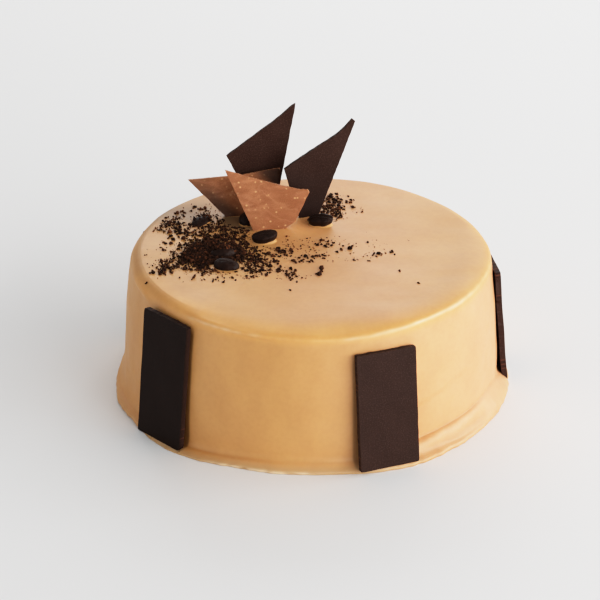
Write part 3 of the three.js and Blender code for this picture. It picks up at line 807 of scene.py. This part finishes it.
print("tablets")
for order, plan in enumerate(tablets, 1):
    ragSeed, snapSeed, waveSeed = (seed + order for seed in tablet["seeds"])
    corners = roundedCorners(tablet["width"], plan["length"], plan["corners"])
    outline = roughOutline(corners, tablet["spacing"], tablet["rag"], tablet["ragLength"], ragSeed)
    snapped = waves(np.column_stack([outline, 0 * outline[:, 0]]), tablet["snapLength"], snapSeed)
    topEdge = outline[:, 1] > plan["length"] - tablet["snapZone"]
    outline[:, 1] += np.where(topEdge, tablet["snap"] * snapped, 0)

    def warp(points, plan=plan, seed=waveSeed):  # bowed up its length
        share = points[:, 1] / plan["length"]
        wave = tablet["wave"] * waves(points, tablet["waveLength"], seed)
        return plan["bow"] * ((1 - share) ** 2 - tablet["bowMiddle"]) + wave

    piece = addSlab(f"tablet_{order}", outline, tablet, plan, warp, darkChocolate, tabletPlace(plan))
    settle(piece, "dark_chocolate", f"plaque_{order}")


# Shards stuck into the top

shard = {"thickness": 1.8, "round": 0.26, "spacing": 1.3, "cell": 2.2, "sideShade": 1, "rag": 0.045,
         "ragLength": 3.2, "bow": 0.35, "bowWidth": 20, "wave": 0.08, "waveLength": 14, "seeds": (120, 140)}
# shade, dim, lit and dark set the painted shade and painted light on each shard's face
shards = [
    {"name": "shard_milk_front", "x": -17.5, "y": 21, "yaw": 8, "lean": 14, "milk": True, "shade": 0.0,
     "outline": [(-7, -8), (0, -8), (5, 0.3), (10, 3.1), (17.4, 17.3), (16.8, 18.6), (14.6, 18.4),
                 (7.1, 20.3), (-0.1, 22.5), (-12, 26.3), (-22.7, 30.2), (-10, -0.6)]},
    {"name": "shard_milk_back", "x": -34, "y": 36, "yaw": 10, "lean": 14, "milk": True, "shade": 0.38,
     "dim": 0.46, "lit": (-3.5, 5, 24, 34), "dark": 0.5,
     "outline": [(-3, -8), (9, -8), (15, 0), (19.3, 14.4), (20.1, 22.3), (0, 20), (-24.9, 19.6),
                 (-7.4, 0.1)]},
    {"name": "shard_dark_back", "x": -21, "y": 47, "yaw": 8, "lean": 5, "milk": False, "shade": 0.0,
     "outline": [(-4, -8), (1.5, -8), (3.2, -0.5), (6, 11.3), (14.2, 52), (12.1, 50.7), (8.9, 47.7),
                 (3, 43.2), (-19.9, 27.2), (-15.5, 18.2), (-6.5, 0.1)]},
    {"name": "shard_dark_front", "x": -1, "y": 35, "yaw": 14, "lean": 7, "milk": False, "shade": 0.13,
     "dim": 0.35,
     "outline": [(-3, -8), (2, -8), (4.5, -0.5), (6.6, 4.9), (24.1, 46.1), (22.6, 47.5), (20.9, 45.3),
                 (17.1, 41.9), (13.8, 39.7), (4.7, 34.7), (-11.4, 25.6), (-9, 16.2), (-5, 0.8)]},
]


def footSpan(plan, below):  # how far a shard reaches to both sides, lower than this
    foot = [place for place, up in plan["outline"] if up < below]
    return min(foot), max(foot)


print("shards")
for order, plan in enumerate(shards):
    ragSeed, waveSeed = (seed + order for seed in shard["seeds"])
    outline = roughOutline(plan["outline"], shard["spacing"], shard["rag"], shard["ragLength"], ragSeed)

    def warp(points, seed=waveSeed):  # bowed to both sides
        wave = shard["wave"] * waves(points, shard["waveLength"], seed)
        return shard["bow"] * (points[:, 0] / shard["bowWidth"]) ** 2 + wave

    place = stoodUp((plan["x"], plan["y"], glaze["height"]), plan["yaw"], plan["lean"])
    material = milkChocolate if plan["milk"] else darkChocolate
    piece = addSlab(plan["name"] + "_piece", outline, shard, plan, warp, material, place)
    settle(piece, "milk_chocolate" if plan["milk"] else "dark_chocolate", plan["name"])


# Beans

beanLook = {
    "tones": [(0.3, (0.013, 0.006, 0.0042)), (0.7, (0.026, 0.0115, 0.0075))],
    "washes": [("groove", [(0.2, 0), (0.9, 0.6)], (0.05, 0.027, 0.016))],  # chaff left in the groove
    "roughness": [(0.3, 0.26), (0.7, 0.44)], "ior": 1.2,
}


def beanFinish():
    material, tree, shader = startMaterial("roastedBean")
    mottle = noiseOf(tree, pieceSpot(tree), 2.2, 4.0)
    wrinkle = noiseOf(tree, pieceSpot(tree, (0.35, 1, 1)), 0.8)
    colour = rampOf(tree, mottle, beanLook["tones"])
    feed(tree, shader, {
        "Base Color": layWashes(tree, colour, beanLook["washes"], {"groove": toneOf(tree, "groove")}),
        "Roughness": rampOf(tree, mottle, beanLook["roughness"]), "IOR": beanLook["ior"],
        "Normal": bumpOf(tree, [(mottle, 0.42), (wrinkle, 0.3)])})
    return material


def beanForm(seed):  # rounded side up, grooved flat side down, with how deep each vertex lies in the groove
    ring = np.linspace(0, pi, bean["rows"] + 2)[1:-1, None]
    turn = np.linspace(0, 2 * pi, bean["columns"], endpoint=False)[None, :]
    out = np.sin(ring)
    unit = np.stack([-np.cos(ring) + 0 * turn, out * np.cos(turn), out * np.sin(turn)], axis=-1)
    x, y, z = np.vstack([unit.reshape(-1, 3), [(-1, 0, 0), (1, 0, 0)]]).T
    below = z < 0
    upperPower, lowerPower = bean["plump"]  # fuller than an ellipsoid, and flatter beneath
    plump = np.abs(z) ** np.where(below, lowerPower, upperPower)
    points = np.stack([x * bean["length"] / 2, y * bean["width"] / 2,
                       np.where(below, -beanUpper * bean["flat"], beanUpper) * plump], axis=1)
    cut, lips = bean["groove"], bean["lips"]
    aside = points[:, 1] - cut["swing"] * np.sin(points[:, 0] * 2 * pi / (bean["length"] * cut["pitch"]))
    fade = np.clip(1 - np.abs(x) ** 6, 0, 1)
    groove = np.where(below, hump(aside, cut["width"]) * fade, 0)
    raised = np.where(below, hump(np.abs(aside) - lips["away"], lips["width"]) * fade, 0)
    points[:, 2] += cut["depth"] * groove - lips["height"] * raised
    lumps, swell = (depth * waves(points, length, seed + step)
                    for step, (depth, length) in enumerate((bean["lumps"], bean["swell"])))
    return points * (1 + lumps + swell)[:, None], groove


print("beans")
roastedBean = beanFinish()
for order, plan in enumerate(beans, 1):
    points, groove = beanForm(bean["seed"] + 2 * order)
    piece = addPiece(f"coffeeBean_{order}", points, closedFaces(bean["rows"], bean["columns"]), roastedBean)
    addTone(piece, "groove", groove)
    under = beanUpper if plan["turnedUp"] else beanUpper * bean["flat"]
    middle = glaze["height"] + under - bean["sink"] - plan.get("sunk", 0)
    spot = Matrix.Translation(Vector((plan["x"], plan["y"], middle)) * mm)
    roll = turned(180 if plan["turnedUp"] else 0, "X")
    piece.matrix_world = spot @ turned(plan["yaw"], "Z") @ turned(plan["tilt"], "Y") @ roll
    settle(piece, "coffee_bean", f"bean_{order}")


# A meniscus where the glaze climbs whatever stands in it: rings laid round the beans and the shards

collar = {"gaps": (-0.9, -0.3, 0, 0.15, 0.35, 0.6, 1.0, 1.5, 2.2, 3.0), "height": 0.1, "fall": 0.4,
          "sink": 0.06, "beanShare": 0.48, "beanPoints": 64, "shardPoints": 96, "shardFoot": 1,
          "straight": 6}


def ringWays(count):
    turn = np.linspace(0, 2 * pi, count, endpoint=False)
    return np.stack([np.cos(turn), np.sin(turn)], axis=1)


def ovalOutline():  # round a bean
    spots = ringWays(collar["beanPoints"])
    half = np.array([bean["length"], bean["width"]]) * collar["beanShare"]
    outward = spots / half
    return spots * half, outward / np.linalg.norm(outward, axis=1, keepdims=True)


def slitOutline(plan):  # round the foot of a shard
    left, right = footSpan(plan, collar["shardFoot"])
    outward = ringWays(collar["shardPoints"])
    half = (right - left) / 2 - shard["thickness"] / 2
    spots = outward * shard["thickness"] / 2
    spots[:, 0] += np.clip(outward[:, 0] * collar["straight"], -1, 1) * half + (right + left) / 2
    spots[:, 1] += shard["thickness"] / 2
    return spots, outward


def addCollars(material):
    points, faces = [], []
    stood = [(plan, *ovalOutline()) for plan in beans] + [(plan, *slitOutline(plan)) for plan in shards]
    for plan, spots, outward in stood:
        turn = math.radians(plan["yaw"])
        spin = np.array([(math.cos(turn), math.sin(turn)), (-math.sin(turn), math.cos(turn))])
        first = len(points)
        for gap in collar["gaps"][::-1]:
            ring = (spots + outward * gap) @ spin + (plan["x"], plan["y"])
            climb = collar["height"] * math.exp(-max(gap, 0) / collar["fall"]) - min(gap, 0) - collar["sink"]
            points += [(x, y, z) for (x, y), z in zip(ring, topLevel(*ring.T) + climb)]
        rows = gridFaces(len(collar["gaps"]), len(spots))
        faces += [[first + corner for corner in face] for face in rows]
    piece = addPiece("glazeCollars", points, faces, material)
    return settle(piece, "glaze", "cake")


print("collars")
addCollars(coffeeGlaze)


# Coffee grounds: a bed where they cover the glaze, crumbs in patches, and dust round them

grounds = {
    "bed": {"x": -47, "y": -5, "width": 33, "depth": 29, "height": 1.5, "rows": 44, "columns": 150,
            # ragged edge as depth, count and start of its waves, with a dent
            "edge": 0.9, "rags": [(0.1, 1, -3.7), (0.1, 3, 0.6), (0.07, 7, 2), (0.05, 13, 1)],
            "dent": {"depth": 0.24, "turn": 2.45, "width": 0.5},
            "grain": (0.4, 1.7), "lumps": (0.3, 4.5), "mottle": (0.25, 1.3), "sink": 0.35, "rimSink": 0.8,
            "seed": 300},
    # grounds heaped on the backs of buried beans, and how far in front of the middle these are bare
    "heap": {"over": 0.4, "rise": (-2.6, -0.6), "bare": 1.2},
    # elliptical patches: x, y, width, depth and the count of large crumbs
    "patches": [
        (-50, -9, 26, 30, 26), (-44, 7, 26, 16, 22), (-61, -16, 20, 16, 20), (-69, -23, 13, 9, 8),
        (-59, 15, 22, 14, 22), (-67, 26, 16, 18, 16), (-46, 24, 14, 12, 10), (-58, 41, 24, 12, 7),
        (-65, 1, 14, 20, 12), (-31, 1, 12, 18, 14), (-28, -15, 16, 22, 24), (-21, -23, 14, 12, 14),
        (-15, -4, 13, 10, 10), (-10, -25, 6, 11, 7), (-10, -14, 16, 14, 8), (1, -9, 16, 8, 12),
        (4, -23, 4, 8, 4), (5, 5, 12, 8, 6), (16, -1, 12, 10, 4), (34, -6, 16, 6, 6),
        (11, 55, 9, 16, 14), (12.5, 40, 10, 14, 14), (18, 51, 6, 16, 5),
    ],
    "strays": [(-78, -7.5), (-75.5, -33.5), (-45, -34), (-40, -35), (-36, -31), (-9.5, -43), (-6.5, -35),
               (20, -12), (27.5, -13), (41, -23), (49.5, -36), (25, 41)],
    "smallest": 0.75, "largest": 1.95, "stray": 0.9, "gather": 0.6, "fineGather": 0.55, "scarce": 2,
    "spacing": 0.75, "swell": (0.45, 1.6), "stretch": (0.65, 1.15),
    "margin": 0.6, "clear": 1.0, "tries": 8, "reach": 78, "shardFoot": 4, "seed": 20,
    # a large crumb's broad bit as a share of its size, the small bits' sizes, how many and how far out
    "core": (0.5, 0.72), "bit": (0.28, 0.6), "loose": 1.3, "about": (0.5, 1.05), "piled": 0.4,
    # patches of fine crumbs, laid out as above
    "fine": [
        (-41, 16, 24, 17, 300), (-56, 13, 16, 24, 80), (-46, -17, 34, 16, 270), (-63, -16, 16, 12, 130),
        (-67, 26, 13, 18, 130), (-29, 1, 14, 16, 120), (-27, -16, 18, 18, 260), (-69, -21, 12, 8, 36),
        (-17, -20, 12, 14, 24), (-12, -4, 16, 14, 14), (2, -8, 16, 10, 10), (6, 7, 10, 8, 12),
        (-60, 40, 24, 12, 24), (-47, 28, 12, 12, 120), (-10, -27, 6, 8, 18), (9, 47, 12, 28, 340),
        (18, 50, 8, 22, 6), (-66, 3, 12, 22, 10), (28, 5, 30, 26, 10), (-5, 5, 30, 20, 14),
        (-72, 35, 7, 9, 24), (-50, 36, 10, 7, 34), (-66, -19, 8, 6, 24), (-3, -14, 8, 5, 9),
        (-47, -20, 32, 7, 90), (-31, -7, 8, 20, 70), (-44, 12, 28, 9, 50),
        (-45.5, -6, 30, 27, 1000), (-44, -24, 20, 6, 70), (-53.5, 24, 13, 8, 110), (-53, 30, 9, 8, 60),
        (-41, 14, 20, 12, 160), (-41, -6.5, 13, 9, 420), (4.5, 31, 12, 7, 80), (-38, -26, 60, 16, 60),
        (-42, -4, 44, 36, 330), (-31, -21.5, 6, 9, 34), (-26, -29, 8, 8, 26), (-23, -13.5, 7, 7, 22),
        (-74.5, 21, 5, 7, 20), (-66.5, 20.5, 4, 7, 10), (-59, 16, 4, 12, 26), (-65, -9.5, 4, 12, 24),
        (-49, -30, 5, 7, 12), (-12.5, -5, 4, 7, 14), (-7.5, -30, 7, 7, 26),
    ],
    # patches of single reddish specks
    "sparse": [(12, 0, 50, 28, 70), (-8, 3, 26, 16, 55), (-20, -28, 44, 10, 30), (-70, -8, 18, 50, 24),
               (14, 46, 24, 34, 40), (-56, 44, 34, 14, 40)],
}
coarse = {"detail": 2, "lumpy": 0.14, "rise": 0.3, "tones": (0.05, 0.95), "seed": 309}
# share of each patch's count, sizes from and to, and spread of the patch
fineKinds = {
    "groundsGrains": {"patches": "fine", "share": 0.62, "sizes": (0.34, 0.8), "spread": 1.0, "detail": 1,
                      "lumpy": 0.2, "rise": 0.3, "tones": (0.1, 1), "seed": 311},
    "groundsDust": {"patches": "fine", "share": 0.5, "sizes": (0.14, 0.28), "spread": 1.3, "detail": 1,
                    "lumpy": 0.1, "rise": 0.3, "tones": (0.5, 1), "seed": 313},
    "groundsSpecks": {"patches": "sparse", "share": 1.0, "sizes": (0.2, 0.44), "spread": 1.0, "detail": 1,
                      "lumpy": 0.1, "rise": 0.2, "tones": (0.75, 1.1), "seed": 315},
}
buried = [plan for plan in beans if plan.get("buried")]
bare = [plan for plan in beans if not plan.get("buried")]


def meetsTopping(x, y, gap):  # under a bean or against the foot of a shard
    for plan in beans:
        spot = plan.get("solid", (plan["x"], plan["y"]))
        if math.dist((x, y), spot) < bean["length"] / 2 + gap:
            return True
    for plan in shards:
        along, behind = ownSpot(x, y, plan)
        left, right = footSpan(plan, grounds["shardFoot"])
        if left - gap < along < right + gap and -gap < behind < shard["thickness"] + gap:
            return True
    return False


def evenDraw(seed):  # the same numbers in every run
    state = seed
    while True:
        state = (state * 1664525 + 1013904223) % 2 ** 32
        yield state / 2 ** 32


def largeCrumbs():  # the crumbs that the solids have, at the same places
    draw = evenDraw(grounds["seed"])
    crumbs = [(x, y, grounds["stray"]) for x, y in grounds["strays"]]
    for x0, y0, width, depth, count in grounds["patches"]:
        left = count
        for _ in range(count * grounds["tries"]):
            if left == 0:
                break
            way = 2 * pi * next(draw)
            out = next(draw) ** grounds["gather"] / 2
            x, y = x0 + width * out * math.cos(way), y0 + depth * out * math.sin(way)
            size = grounds["smallest"]
            size += (grounds["largest"] - grounds["smallest"]) * next(draw) ** grounds["scarce"]
            crowded = any(math.hypot(x - u, y - v) < grounds["spacing"] * (size + r) for u, v, r in crumbs)
            outside = math.hypot(x, y) > grounds["reach"]
            if not crowded and not outside and not meetsTopping(x, y, size + grounds["margin"]):
                crumbs.append((x, y, size))
                left -= 1
    return crumbs


def clumped(crumbs, seed):  # each large crumb as one broad bit with smaller ones about it
    draw = np.random.default_rng(seed)
    bits = []
    for x, y, size in crumbs:
        bits.append((x, y, size * draw.uniform(*grounds["core"]), 0))
        for _ in range(round(grounds["loose"] * size)):
            way, out = 2 * pi * draw.random(), size * draw.uniform(*grounds["about"])
            lift = grounds["piled"] * max(0, size - out) * draw.random()
            u, v = x + out * math.cos(way), y + out * math.sin(way)
            bits.append((u, v, draw.uniform(*grounds["bit"]), lift))
    return bits


def fineCrumbs(kind):
    draw = np.random.default_rng(kind["seed"])
    smallest, largest = kind["sizes"]
    bareFront = grounds["heap"]["bare"]
    crumbs = []
    for x0, y0, width, depth, count in grounds[kind["patches"]]:
        for _ in range(round(count * kind["share"])):
            way, out = 2 * pi * draw.random(), draw.random() ** grounds["fineGather"] / 2 * kind["spread"]
            x, y = x0 + width * out * math.cos(way), y0 + depth * out * math.sin(way)
            size = smallest + (largest - smallest) * draw.random() ** grounds["scarce"]
            under = any(beanGap(x, y, plan) < grounds["clear"] for plan in bare)
            ahead = any(beanGap(x, y, plan) < 0 and y < plan["y"] - bareFront for plan in buried)
            if not under and not ahead and math.hypot(x, y) < grounds["reach"]:
                crumbs.append((x, y, size, 0))
    return crumbs


def groundLevel(x, y):
    edge = glaze["height"] - glaze["shoulder"][1]
    over = np.maximum(0, np.hypot(x, y) - glaze["shoulder"][0] + edge)
    bed, heap = grounds["bed"], grounds["heap"]
    across, along = (x - bed["x"]) / (bed["width"] / 2), (y - bed["y"]) / (bed["depth"] / 2)
    level = bed["height"] * np.sqrt(np.maximum(0, 1 - across ** 2 - along ** 2))
    for plan in buried:
        away = 1 + beanGap(x, y, plan) / (bean["width"] / 2)
        beanTop = bean["height"] - bean["sink"] - plan.get("sunk", 0)
        heaped = (beanTop + heap["over"]) * smoothStep(y - plan["y"], *heap["rise"])  # its front stays bare
        level = np.maximum(level, heaped * np.sqrt(np.maximum(0, 1 - away ** 2)))
    return glaze["shoulder"][1] + np.sqrt(edge ** 2 - over ** 2) + level


def addCrumbs(name, crumbs, kind, material):
    draw = np.random.default_rng(kind["seed"] + 1)
    form = bmesh.new()
    bmesh.ops.create_icosphere(form, subdivisions=kind["detail"], radius=1)
    ball, corners = formArrays(form)
    x, y, size, lift = np.array(crumbs).T
    count = len(crumbs)
    swell = 1 + kind["lumpy"] * draw.normal(size=(count, len(ball), 1))
    shape = ball[None] * np.clip(swell, *grounds["swell"])
    shape = shape * draw.uniform(*grounds["stretch"], (count, 1, 3))
    spin = np.linalg.qr(draw.normal(size=(count, 3, 3)))[0]
    spin *= np.linalg.det(spin)[:, None, None]  # turned, never mirrored
    shape = np.einsum("nij,nkj->nki", spin, shape) * size[:, None, None]
    middle = np.stack([x, y, groundLevel(x, y) + kind["rise"] * size + lift], axis=1)
    points = (shape + middle[:, None]).reshape(-1, 3)
    faces = (np.array(corners)[None] + np.arange(count)[:, None, None] * len(ball)).reshape(-1, 3)
    piece = addPiece(name, points, faces.tolist(), material, smooth=False)
    addTone(piece, "tone", np.repeat(draw.uniform(*kind["tones"], count), len(ball)))
    return settle(piece, "coffee_bean", "cake")


def addBed(material):
    bed = grounds["bed"]
    rows, columns = bed["rows"], bed["columns"]
    share = np.linspace(1, 0, rows + 1)[:-1, None]
    turn = np.linspace(0, 2 * pi, columns, endpoint=False)[None, :]
    ragged = bed["edge"]
    for depth, count, start in bed["rags"]:
        ragged = ragged + depth * np.cos(count * turn + start)
    ragged = ragged - bed["dent"]["depth"] * hump(turn - bed["dent"]["turn"], bed["dent"]["width"])
    x = bed["x"] + share * ragged * np.cos(turn) * bed["width"] / 2
    y = bed["y"] + share * ragged * np.sin(turn) * bed["depth"] / 2
    flat = np.stack([x, y, 0 * x], axis=-1).reshape(-1, 3)

    def uneven(name, step):
        depth, length = bed[name]
        return depth * waves(flat, length, bed["seed"] + step)

    grain = np.abs(uneven("grain", 0)) + uneven("lumps", 1)
    dome = groundLevel(flat[:, 0], flat[:, 1]) + grain - bed["sink"]
    rim = np.arange(len(flat)) < columns
    under = glaze["height"] - bed["rimSink"]
    flat[:, 2] = np.where(rim, under, dome)
    ends = [(bed["x"], bed["y"], under), (bed["x"], bed["y"], glaze["height"] + bed["height"])]
    piece = addPiece("groundsBed", np.vstack([flat, ends]), closedFaces(rows, columns), material)
    addTone(piece, "tone", np.append(0.5 + uneven("mottle", 2), [0.5, 0.5]))
    return settle(piece, "coffee_bean", "cake")


groundsLook = {
    "tones": [(0.0, (0.015, 0.0072, 0.005)), (0.45, (0.032, 0.014, 0.0085)), (0.8, (0.075, 0.03, 0.015)),
              (1.0, (0.17, 0.06, 0.026))],
    "washes": [("fine", [(0.35, 0.35), (0.65, 0)], (0.01, 0.0055, 0.004))],
    "roughness": [(0.3, 0.62), (0.7, 0.85)], "ior": 1.12,
}


def groundsFinish():
    material, tree, shader = startMaterial("coffeeGrounds")
    fine = noiseOf(tree, pieceSpot(tree), 0.6)
    colour = rampOf(tree, toneOf(tree, "tone"), groundsLook["tones"])
    feed(tree, shader, {
        "Base Color": layWashes(tree, colour, groundsLook["washes"], {"fine": fine}),
        "Roughness": rampOf(tree, fine, groundsLook["roughness"]), "IOR": groundsLook["ior"],
        "Normal": bumpOf(tree, [(fine, 0.12)])})
    return material


print("grounds")
coffeeGrounds = groundsFinish()
addBed(coffeeGrounds)
addCrumbs("groundsCoarse", clumped(largeCrumbs(), coarse["seed"]), coarse, coffeeGrounds)
for name, kind in fineKinds.items():
    addCrumbs(name, fineCrumbs(kind), kind, coffeeGrounds)


# Stage: pale floor, soft light from the right, camera

floor = {"size": 6.0, "colour": (0.80, 0.797, 0.793), "dim": 0.985, "cloud": 180, "roughness": 0.7}


def addFloor():
    material, tree, shader = startMaterial("paleFloor")
    cloud = noiseOf(tree, pieceSpot(tree), floor["cloud"], 2.0)
    dim = tuple(part * floor["dim"] for part in floor["colour"])
    feed(tree, shader, {
        "Base Color": mixOf(tree, cloud, dim, floor["colour"]), "Roughness": floor["roughness"]})
    half = floor["size"] / 2 / mm
    corners = [(-half, -half, 0), (half, -half, 0), (half, half, 0), (-half, half, 0)]
    piece = addPiece("floor", corners, [(0, 1, 2, 3)], material)


lights = {
    "key": {"azimuth": 66, "rise": 18, "distance": 1.6, "wide": 2.8, "tall": 1.1, "power": 51.5},
    "side": {"azimuth": 132, "rise": 22, "distance": 1.6, "wide": 1.6, "tall": 1.2, "power": 5.9},
    "back": {"azimuth": 180, "rise": 28, "distance": 1.7, "wide": 1.3, "tall": 0.9, "power": 10.3},
    "fill": {"azimuth": -75, "rise": 11, "distance": 1.6, "wide": 1.6, "tall": 0.6, "power": 2.6},
}
room = {"colour": (1.0, 1.0, 1.0), "strength": 0.495}


def addLights():
    for name, plan in lights.items():
        lamp = bpy.data.lights.new(name, "AREA")
        lamp.shape = "RECTANGLE"
        lamp.size, lamp.size_y = plan["wide"], plan["tall"]
        lamp.energy = plan["power"]
        turn, rise = math.radians(plan["azimuth"]), math.radians(plan["rise"])
        way = Vector((math.cos(rise) * math.sin(turn), -math.cos(rise) * math.cos(turn), math.sin(rise)))
        light = bpy.data.objects.new(name, lamp)
        light.location = way * plan["distance"]
        light.rotation_euler = way.to_track_quat("Z", "Y").to_euler()
        bpy.context.scene.collection.objects.link(light)
    world = bpy.data.worlds.new("softRoom")
    world.use_nodes = True
    background = world.node_tree.nodes["Background"]
    background.inputs["Color"].default_value = opaque(room["colour"])
    background.inputs["Strength"].default_value = room["strength"]
    bpy.context.scene.world = world


camera = {"place": (0, -1.0, 0.558), "aim": (-0.0052, 0, 0.0402), "lens": 141.6, "sensor": 36}


def addCamera():
    lens = bpy.data.cameras.new("camera")
    lens.lens, lens.sensor_width = camera["lens"], camera["sensor"]
    piece = bpy.data.objects.new("camera", lens)
    piece.location = camera["place"]
    piece.rotation_euler = (Vector(camera["aim"]) - piece.location).to_track_quat("-Z", "Y").to_euler()
    bpy.context.scene.collection.objects.link(piece)
    bpy.context.scene.camera = piece


# how the camera answers to light: deeper shadows and soft highlights (scene light, picture light)
response = [(0, 0), (0.03, 0.02), (0.14, 0.122), (0.4, 0.405), (0.65, 0.635), (0.9, 0.785), (1.2, 0.885),
            (1.7, 0.955), (2.5, 1.0)]


def addResponse():
    view = bpy.context.scene.view_settings
    view.view_transform = "Standard"
    view.use_curve_mapping = True
    mapping = view.curve_mapping
    mapping.clip_max_x, mapping.clip_max_y = response[-1]
    points = mapping.curves[3].points
    points[0].location, points[1].location = response[0], response[-1]
    for spot in response[1:-1]:
        points.new(*spot)
    mapping.update()


print("stage")
addFloor()
addLights()
addCamera()
addResponse()
